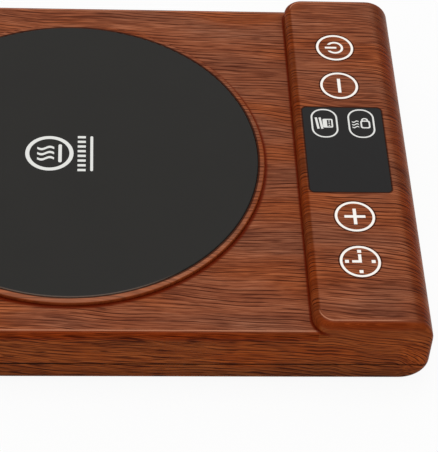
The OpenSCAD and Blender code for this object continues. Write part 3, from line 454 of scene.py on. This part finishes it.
def woodMaterial(name):
    material, tree, surface, place = newMaterial(name)
    facing = addNode(tree, "ShaderNodeTexCoord").outputs["Normal"]
    height, up = split(tree, place)[2], split(tree, facing)[2]
    grain = useGroup(tree, woodGrain, Position=place, Shade=remap(tree, height, *shell["shadeTowardsFoot"]))
    crease = useGroup(tree, printCreases, Position=place, Facing=facing)
    strong = {mask: calc(tree, "MULTIPLY", crease[mask], amount)
              for mask, amount in printed["strength"].items()}
    ground = mixColour(tree, strong["Corner"], grain["Color"], wood["dark"])
    # painted shade: walls tinted darker and more saturated
    colour = tinted(tree, crease["Side"], ground, printed["side"])
    # painted shade over the nose, a painted reflection at its tip
    nose = mixColour(tree, crease["NoseReflection"], printed["noseShadeTint"], printed["noseReflection"])
    colour = tinted(tree, crease["NoseShade"], colour, nose)
    # painted shade: rounded edges tinted darker
    colour = tinted(tree, crease["EdgeShade"], colour, printed["edge"])
    # painted shade: the riser tinted darker and warmer, more so where it faces up
    riser = mixColour(tree, calc(tree, "ABSOLUTE", up), printed["riserShadeWall"], printed["riserShadeTop"])
    riser = mixColour(tree, 1.0, ground, riser, "MULTIPLY")
    colour = mixColour(tree, crease["RiserShade"], colour, riser)
    # painted highlight on the crests and on the near part of the rim's top; the loop lays a flat
    # orange brown on the rim's wall, the painted highlight, then painted shade at the feet and in
    # the slits
    pale = calc(tree, "MAXIMUM", strong["CrestHighlight"], strong["RimHighlight"])
    for mask, over in ((strong["RimWall"], "rimWall"), (pale, "paintedHighlight"),
                       (strong["FootShade"], "foot"), (strong["GapShade"], "gap")):
        colour = mixColour(tree, mask, colour, printed[over])
    bare = calc(tree, "MAXIMUM", fade(tree, height, *shell["filmEnd"]), crease["Inside"])
    plain = useGroup(tree, mouldedPlastic, Position=place, Tint=shell["bare"],
                     Roughness=shell["roughness"], Variation=shell["variation"],
                     Scale=shell["scale"])
    outputs = {"Color": mixColour(tree, bare, colour, plain["Color"]),
               "Roughness": calc(tree, "ADD", grain["Roughness"],
                                 product(tree, bare, shell["duller"])),
               "Height": calc(tree, "ADD", grain["Height"],
                              product(tree, plain["Height"], bare))}
    finishWith(tree, surface, outputs, printed["depth"], specular=printed["specular"])
    return material


# Finishes that several materials share

plasticGrain = {"cloud": 45.0, "share": 0.6, "swing": 4.0}
metalGrain = {
    "lines": (0.8, 0.4), "lineRoughness": 0.12,
    "stainScale": 160.0, "stain": (0.55, 0.75, 0.0, 0.35), "stainRoughness": 0.4,
    "stainColour": srgb(112, 104, 92),
}


def buildPlastic():
    group, inside, out = newGroup("mouldedPlastic", [
        ("Position", "Vector", None), ("Tint", "Color", (0.5, 0.5, 0.5, 1.0)),
        ("Roughness", "Float", 0.5), ("Variation", "Float", 0.1), ("Scale", "Float", 1200.0)],
        finishOutputs)
    share = plasticGrain["share"]
    grain = noise(group, inside["Position"], inside["Scale"], detail=3.0, roughness=0.6)
    cloud = noise(group, inside["Position"], plasticGrain["cloud"], detail=2.0)
    mottle = calc(group, "ADD", product(group, grain, share), product(group, cloud, share))
    swing = product(group, calc(group, "SUBTRACT", mottle, share), inside["Variation"])
    gain = calc(group, "ADD", 1.0, product(group, swing, plasticGrain["swing"]))
    plug(group, out["Color"], mixColour(group, 1.0, inside["Tint"],
                                        join(group, gain, gain, gain), "MULTIPLY"))
    plug(group, out["Roughness"], calc(group, "ADD", inside["Roughness"], swing, clamp=True))
    plug(group, out["Height"], grain)
    return group


def buildMetal():
    group, inside, out = newGroup("workedMetal", [
        ("Position", "Vector", None), ("Tint", "Color", (0.6, 0.6, 0.6, 1.0)),
        ("Roughness", "Float", 0.35), ("Lay", "Vector", (300.0, 6000.0, 6000.0))], finishOutputs)
    laid = vectorMath(group, "MULTIPLY", inside["Position"], inside["Lay"])
    lines = noise(group, laid, 1.0, detail=3.0, roughness=0.6)
    stain = noise(group, inside["Position"], metalGrain["stainScale"], detail=3.0)
    darkest, swing = metalGrain["lines"]
    gain = calc(group, "ADD", darkest, product(group, lines, swing))
    colour = mixColour(group, 1.0, inside["Tint"], join(group, gain, gain, gain), "MULTIPLY")
    dull = remap(group, stain, *metalGrain["stain"])
    rougher = calc(group, "ADD", product(group, lines, metalGrain["lineRoughness"]),
                   product(group, dull, metalGrain["stainRoughness"]))
    plug(group, out["Color"], mixColour(group, dull, colour, metalGrain["stainColour"]))
    plug(group, out["Roughness"], calc(group, "ADD", inside["Roughness"], rougher, clamp=True))
    plug(group, out["Height"], lines)
    return group


mouldedPlastic = buildPlastic()
workedMetal = buildMetal()

# colour, roughness, variation, scale of the speckle, depth of the bump in metres, specular level
plastics = {
    "white_print": ((232, 232, 228), 0.6, 0.02, 3000.0, 0.00001, 0.2),
    "legend_white": ((255, 251, 244), 0.45, 0.02, 2500.0, 0.00001, 0.2),
    "window_black": ((32, 31, 31), 0.2, 0.05, 700.0, 0.000004, 0.12),
    "silicone_red": ((140, 58, 42), 0.62, 0.08, 900.0, 0.00004, 0.4),
    "tape_black": ((26, 26, 27), 0.8, 0.12, 1800.0, 0.00004, 0.3),
    "module_grey": ((66, 68, 72), 0.4, 0.06, 1200.0, 0.00002, 0.4),
    "box_white": ((228, 227, 220), 0.5, 0.04, 900.0, 0.00003, 0.4),
    "led_cream": ((238, 224, 170), 0.25, 0.06, 1400.0, 0.00001, 0.5),
    "chip_black": ((24, 24, 26), 0.6, 0.10, 3500.0, 0.00002, 0.4),
    "switch_grey": ((58, 58, 61), 0.45, 0.08, 1600.0, 0.00003, 0.4),
    "relay_blue": ((46, 92, 160), 0.35, 0.05, 1000.0, 0.00002, 0.5),
    "core_dark": ((52, 50, 52), 0.6, 0.14, 1100.0, 0.00005, 0.4),
    "film_yellow": ((178, 152, 62), 0.35, 0.06, 800.0, 0.00003, 0.5),
    "can_blue": ((40, 50, 78), 0.3, 0.05, 900.0, 0.00001, 0.5),
    "terminal_green": ((42, 122, 74), 0.45, 0.06, 1300.0, 0.00003, 0.4),
    "bush_black": ((27, 26, 26), 0.7, 0.10, 1500.0, 0.00005, 0.35),
    "clamp_cream": ((214, 204, 182), 0.5, 0.06, 1100.0, 0.00003, 0.4),
    "ceramic_white": ((232, 227, 212), 0.18, 0.05, 600.0, 0.00004, 0.5),
}

# colour, roughness, scale of the work marks along each axis, depth of the bump in metres
metals = {
    "pressed_steel": ((184, 186, 190), 0.32, (400.0, 7000.0, 7000.0), 0.000015),
    "screw_steel": ((170, 172, 176), 0.28, (6000.0, 6000.0, 900.0), 0.00001),
    "brass_can": ((202, 168, 92), 0.3, (5000.0, 5000.0, 700.0), 0.00001),
}


def plasticMaterial(name, look):
    colour, roughness, variation, scale, depth, specular = look
    material, tree, surface, place = newMaterial(name)
    outputs = useGroup(tree, mouldedPlastic, Position=place, Tint=srgb(*colour),
                       Roughness=roughness, Variation=variation, Scale=scale)
    finishWith(tree, surface, outputs, depth, specular=specular)
    return material


def metalMaterial(name, look):
    colour, roughness, lay, depth = look
    material, tree, surface, place = newMaterial(name)
    outputs = useGroup(tree, workedMetal, Position=place, Tint=srgb(*colour),
                       Roughness=roughness, Lay=lay)
    finishWith(tree, surface, outputs, depth)
    surface.inputs["Metallic"].default_value = 1.0
    return material


# Finishes of single pieces; lengths and places are in millimetres, depths in metres

plate = {
    "colour": srgb(38, 37, 35), "roughness": 0.5, "variation": 0.06, "scale": 2600.0,
    # the edge values place a painted highlight: a pale line on the near end of the plate's rounded
    # edge
    "middleY": 17.4, "edgeFrom": (59.6, 59.85), "edgeZ": (24.15, 24.3), "edgeX": (-58.0, -48.0),
    "edge": srgb(104, 88, 78), "depth": 0.000012, "specular": 0.1,
}


def plateMaterial(name, look):  # matt coating, with a painted highlight: a pale line at the near end of its edge
    material, tree, surface, place = newMaterial(name)
    x, y, z = inMillimetres(tree, place)
    outputs = useGroup(tree, mouldedPlastic, Position=place, Tint=look["colour"],
                       Roughness=look["roughness"], Variation=look["variation"],
                       Scale=look["scale"])
    away = longest(tree, x, calc(tree, "SUBTRACT", y, look["middleY"]))
    edge = product(tree, remap(tree, away, *look["edgeFrom"]), remap(tree, z, *look["edgeZ"]),
                   fade(tree, x, *look["edgeX"]))
    highlighted = {"Color": mixColour(tree, edge, outputs["Color"], look["edge"]),
            "Roughness": outputs["Roughness"], "Height": outputs["Height"]}
    finishWith(tree, surface, highlighted, look["depth"], specular=look["specular"])
    return material


mica = {
    "plateY": 17.4, "trackPitch": 4.2, "trackCut": (0.1, 0.4), "trackInk": 0.6, "hub": (7.0, 7.4),
    "sheet": srgb(172, 138, 84), "flake": srgb(208, 180, 128), "track": srgb(110, 106, 98),
    "flakeScale": 320.0, "flakeCut": (0.1, 0.7), "grainScale": 900.0, "grainCut": (0.3, 0.7),
    "roughness": (0.28, 0.46), "depth": 0.00002,
}


def micaMaterial(name, look):  # flaky sheet with the heating ribbon showing through
    material, tree, surface, place = newMaterial(name)
    x, y, z = inMillimetres(tree, place)
    flakes = addNode(tree, "ShaderNodeTexVoronoi", {
        "Vector": place, "Scale": look["flakeScale"]}).outputs["Distance"]
    grain = noise(tree, place, look["grainScale"], detail=3.0)
    fromHub = longest(tree, x, calc(tree, "SUBTRACT", y, look["plateY"]))
    wave = calc(tree, "SINE", product(tree, fromHub, tau / look["trackPitch"]))
    track = product(tree, remap(tree, wave, *look["trackCut"]), remap(tree, fromHub, *look["hub"]))
    colour = mixColour(tree, remap(tree, flakes, *look["flakeCut"]), look["flake"], look["sheet"])
    colour = mixColour(tree, product(tree, track, look["trackInk"]), colour, look["track"])
    outputs = {"Color": colour, "Height": calc(tree, "ADD", grain, track),
               "Roughness": remap(tree, grain, *look["grainCut"], *look["roughness"])}
    finishWith(tree, surface, outputs, look["depth"])
    return material


felt = {
    "light": srgb(230, 223, 206), "dark": srgb(186, 176, 154), "shadeCut": (0.40, 0.62),
    "strands": ((2600.0, 320.0, 1500.0), (320.0, 2600.0, 1500.0)), "curl": 0.6, "clump": 240.0,
    "roughness": 0.93, "depth": 0.0001, "specular": 0.2,
}


def feltMaterial(name, look):  # pressed ceramic fibre
    material, tree, surface, place = newMaterial(name)
    one, other = [noise(tree, vectorMath(tree, "MULTIPLY", place, lay), 1.0, detail=2.0,
                        distortion=look["curl"]) for lay in look["strands"]]
    height = calc(tree, "MAXIMUM", one, other)
    body = product(tree, calc(tree, "ADD", height, noise(tree, place, look["clump"])), 0.5)
    outputs = {"Color": mixColour(tree, remap(tree, body, *look["shadeCut"]),
                                  look["dark"], look["light"]),
               "Roughness": look["roughness"], "Height": height}
    finishWith(tree, surface, outputs, look["depth"], specular=look["specular"])
    return material


board = {
    "mask": srgb(24, 78, 48), "track": srgb(48, 118, 74), "pad": srgb(198, 190, 164),
    "laminate": srgb(168, 164, 104), "rimCut": (0.4, 0.6),
    "unit": 4.0, "length": 2.4, "row": 0.8, "trackWidth": 0.07, "trackBlur": 0.1,
    "turnScale": 60.0, "turnCut": (0.49, 0.51),
    "padPitch": 2.54, "padEdge": (0.7, 0.8), "bareShare": 0.84,
    "speckScale": 2200.0, "speckRoughness": 0.2, "speckHeight": 0.1,
    "roughness": 0.32, "depth": 0.00003,
}


def boardMaterial(name, look):  # circuit board: tracks under the solder mask, bare pads
    material, tree, surface, place = newMaterial(name)
    x, y, z = inMillimetres(tree, place)
    runs = []
    for route in ((x, y), (y, x)):
        laid = join(tree, *[calc(tree, "DIVIDE", value, look["unit"]) for value in route], 0.0)
        runs.append(addNode(tree, "ShaderNodeTexBrick", {
            "Vector": laid, "Scale": 1.0, "Mortar Size": look["trackWidth"],
            "Mortar Smooth": look["trackBlur"], "Brick Width": look["length"],
            "Row Height": look["row"]}).outputs["Fac"])
    turn = remap(tree, noise(tree, place, look["turnScale"]), *look["turnCut"])
    track = calc(tree, "ADD", product(tree, runs[0], turn),
                 product(tree, runs[1], calc(tree, "SUBTRACT", 1.0, turn)))
    cells = [calc(tree, "DIVIDE", value, look["padPitch"]) for value in (x, y)]
    inCell = [product(tree, calc(tree, "SUBTRACT", calc(tree, "FRACT", cell), 0.5),
                      look["padPitch"]) for cell in cells]
    whole = join(tree, *[calc(tree, "FLOOR", cell) for cell in cells], 0.0)
    chance = addNode(tree, "ShaderNodeTexWhiteNoise", {"Vector": whole}).outputs["Value"]
    pad = product(tree, fade(tree, longest(tree, *inCell), *look["padEdge"]),
                  calc(tree, "GREATER_THAN", chance, look["bareShare"]))
    facing = addNode(tree, "ShaderNodeTexCoord").outputs["Normal"]
    rim = fade(tree, calc(tree, "ABSOLUTE", split(tree, facing)[2]), *look["rimCut"])
    colour = mixColour(tree, track, look["mask"], look["track"])
    colour = mixColour(tree, pad, colour, look["pad"])
    colour = mixColour(tree, rim, colour, look["laminate"])
    speck = noise(tree, place, look["speckScale"])
    outputs = {"Color": colour,
               "Roughness": calc(tree, "ADD", look["roughness"],
                                 product(tree, speck, look["speckRoughness"])),
               "Height": calc(tree, "ADD", calc(tree, "MAXIMUM", track, pad),
                              product(tree, speck, look["speckHeight"]))}
    finishWith(tree, surface, outputs, look["depth"])
    return material


fuse = {
    "middleY": -69.0, "capFrom": (4.95, 5.05), "ringPitch": 1.6, "ringCut": (0.85, 0.98),
    "tube": srgb(214, 218, 214), "sand": srgb(190, 186, 172), "cap": srgb(190, 188, 182),
    "sandScale": 3200.0, "sandCut": (0.4, 0.6), "roughness": 0.1, "sandRoughness": 0.25,
    "coat": 0.4, "depth": 0.00002,
}


def fuseMaterial(name, look):  # sand-filled tube between two plated caps
    material, tree, surface, place = newMaterial(name)
    x, y, z = inMillimetres(tree, place)
    away = calc(tree, "ABSOLUTE", calc(tree, "SUBTRACT", y, look["middleY"]))
    cap = remap(tree, away, *look["capFrom"])
    grains = noise(tree, place, look["sandScale"], detail=3.0)
    ring = calc(tree, "SINE", product(tree, away, tau / look["ringPitch"]))
    ring = remap(tree, ring, *look["ringCut"])
    colour = mixColour(tree, remap(tree, grains, *look["sandCut"]), look["sand"], look["tube"])
    colour = mixColour(tree, cap, colour, look["cap"])
    outputs = {"Color": colour,
               "Roughness": calc(tree, "ADD", look["roughness"],
                                 product(tree, grains, look["sandRoughness"])),
               "Height": calc(tree, "ADD", grains, product(tree, cap, ring))}
    finishWith(tree, surface, outputs, look["depth"], coat=look["coat"])
    tree.links.new(cap, surface.inputs["Metallic"])
    return material


ribbon = {
    "pitch": 1.27, "ridgeCut": (0.05, 0.4), "middleZ": 13.55, "plugFrom": (2.6, 2.65),
    "firstCore": (-17.3, -17.2),
    "jacket": srgb(146, 150, 158), "groove": srgb(96, 100, 108), "first": srgb(164, 52, 44),
    "plug": srgb(222, 216, 200),
    "speckScale": 1800.0, "speckInk": 0.2, "speckRoughness": 0.15, "speckHeight": 0.1,
    "roughness": 0.5, "depth": 0.00015,
}


def ribbonMaterial(name, look):  # cores side by side, the first one marked, and moulded plugs
    material, tree, surface, place = newMaterial(name)
    x, y, z = inMillimetres(tree, place)
    ridge = calc(tree, "ABSOLUTE", calc(tree, "SINE", product(tree, x, pi / look["pitch"])))
    plugHere = remap(tree, calc(tree, "ABSOLUTE", calc(tree, "SUBTRACT", z, look["middleZ"])),
                     *look["plugFrom"])
    speck = noise(tree, place, look["speckScale"], detail=3.0)
    core = mixColour(tree, remap(tree, x, *look["firstCore"]), look["jacket"], look["first"])
    colour = mixColour(tree, remap(tree, ridge, *look["ridgeCut"]), look["groove"], core)
    colour = mixColour(tree, plugHere, colour, look["plug"])
    colour = mixColour(tree, product(tree, speck, look["speckInk"]), colour, look["groove"])
    height = product(tree, ridge, calc(tree, "SUBTRACT", 1.0, plugHere))
    outputs = {"Color": colour,
               "Roughness": calc(tree, "ADD", look["roughness"],
                                 product(tree, speck, look["speckRoughness"])),
               "Height": calc(tree, "ADD", height, product(tree, speck, look["speckHeight"]))}
    finishWith(tree, surface, outputs, look["depth"])
    return material


# light and dark strands, pitch of the braid, roughness, depth of the bump
leads = {
    "lead_white": ((226, 221, 206), (172, 164, 146), 0.55, 0.7, 0.00006),
    "lead_red": ((190, 52, 42), (138, 30, 26), 0.4, 0.5, 0.00003),
}
leadWear = {"scale": 500.0, "weave": 0.5, "cut": (0.1, 0.9), "roughness": 0.15, "specular": 0.3}


def leadMaterial(name, look):  # braided sleeve: two sets of strands that cross
    light, dark, pitch, roughness, depth = look
    material, tree, surface, place = newMaterial(name)
    x, y, z = inMillimetres(tree, place)
    waves = []
    for lean in (calc(tree, "ADD", x, z), calc(tree, "SUBTRACT", x, z)):
        turns = product(tree, calc(tree, "ADD", y, lean), tau / pitch)
        waves.append(calc(tree, "SINE", turns))
    weave = product(tree, *waves)
    wear = noise(tree, place, leadWear["scale"], detail=3.0)
    strand = calc(tree, "ADD", product(tree, weave, leadWear["weave"]), wear)
    outputs = {"Color": mixColour(tree, remap(tree, strand, *leadWear["cut"]),
                                  srgb(*dark), srgb(*light)),
               "Roughness": calc(tree, "ADD", roughness,
                                 product(tree, wear, leadWear["roughness"])),
               "Height": weave}
    finishWith(tree, surface, outputs, depth, specular=leadWear["specular"])
    return material


materials = {}
for slotName in ("casing_wood", "casing_base"):
    materials[slotName] = woodMaterial(slotName)
materials["plate_black"] = plateMaterial("plate_black", plate)
materials["mica_tan"] = micaMaterial("mica_tan", mica)
materials["fibre_cream"] = feltMaterial("fibre_cream", felt)
materials["board_green"] = boardMaterial("board_green", board)
materials["fuse_glass"] = fuseMaterial("fuse_glass", fuse)
materials["cable_grey"] = ribbonMaterial("cable_grey", ribbon)
for slotName, look in leads.items():
    materials[slotName] = leadMaterial(slotName, look)
for slotName, look in plastics.items():
    materials[slotName] = plasticMaterial(slotName, look)
for slotName, look in metals.items():
    materials[slotName] = metalMaterial(slotName, look)
print("materials made:", len(materials))

for name, part in frame["nodes"].items():
    part.material_slots[0].material = materials[slotOf[name]]
print("materials given to", len(frame["nodes"]), "nodes")


# Studio: pale floor, overhead softbox, white surround

studio = {
    "floorSize": 6.0, "floorColour": 0.8, "floorGlow": 0.93,
    "skyForObject": 0.6,
    "boxPlace": (0.05, 0.0, 0.75), "boxSize": 0.35, "boxPower": 2.1,
}


def seenRays(tree):  # 1 for what the camera, a mirror or glass sees
    rays = tree.nodes.new("ShaderNodeLightPath").outputs
    mirrored = calc(tree, "MAXIMUM", rays["Is Camera Ray"], rays["Is Glossy Ray"])
    return calc(tree, "MAXIMUM", mirrored, rays["Is Transmission Ray"])


def makeFloor():
    mesh = bmesh.new()
    bmesh.ops.create_grid(mesh, x_segments=2, y_segments=2, size=studio["floorSize"] / 2)
    data = bpy.data.meshes.new("studioFloor")
    mesh.to_mesh(data)
    mesh.free()
    floor = bpy.data.objects.new("studioFloor", data)
    bpy.context.scene.collection.objects.link(floor)
    material = bpy.data.materials.new("studioFloor")
    material.use_nodes = True
    tree = material.node_tree
    tree.nodes.remove(tree.nodes["Principled BSDF"])
    shade = studio["floorColour"]
    matt = addNode(tree, "ShaderNodeBsdfDiffuse", {"Color": (shade, shade, shade, 1.0)})
    glow = addNode(tree, "ShaderNodeEmission", {"Color": (1.0, 1.0, 1.0, 1.0), "Strength": 1.0})
    blend = addNode(tree, "ShaderNodeMixShader", {
        0: calc(tree, "MULTIPLY", seenRays(tree), studio["floorGlow"]),
        1: matt.outputs[0], 2: glow.outputs[0]})
    tree.links.new(blend.outputs[0], tree.nodes["Material Output"].inputs["Surface"])
    data.materials.append(material)


def makeSurround():
    world = bpy.data.worlds.new("studioSurround")
    bpy.context.scene.world = world
    world.use_nodes = True
    tree = world.node_tree
    background = tree.nodes["Background"]
    background.inputs["Color"].default_value = (1.0, 1.0, 1.0, 1.0)
    sky = studio["skyForObject"]
    plug(tree, background.inputs["Strength"],
         calc(tree, "ADD", sky, calc(tree, "MULTIPLY", seenRays(tree), 1.0 - sky)))


def makeSoftbox():
    light = bpy.data.lights.new("softbox", "AREA")
    light.shape = "SQUARE"
    light.size = studio["boxSize"]
    light.energy = studio["boxPower"]
    lamp = bpy.data.objects.new("softbox", light)
    lamp.location = studio["boxPlace"]
    bpy.context.scene.collection.objects.link(lamp)


view = {
    "place": (-0.426268, 0.012244, 0.459526), "turn": (42.3236, -3.2656, -92.3465),
    "lens": 151.01, "sensor": 36.0, "clip": (0.01, 20.0),
}


def makeCamera():
    data = bpy.data.cameras.new("camera")
    data.sensor_width = view["sensor"]
    data.lens = view["lens"]
    data.clip_start, data.clip_end = view["clip"]
    camera = bpy.data.objects.new("camera", data)
    camera.location = view["place"]
    camera.rotation_euler = [radians(angle) for angle in view["turn"]]
    bpy.context.scene.collection.objects.link(camera)
    bpy.context.scene.camera = camera


makeFloor()
makeSurround()
makeSoftbox()
makeCamera()
bpy.context.scene.view_settings.view_transform = "Standard"
print("studio ready")
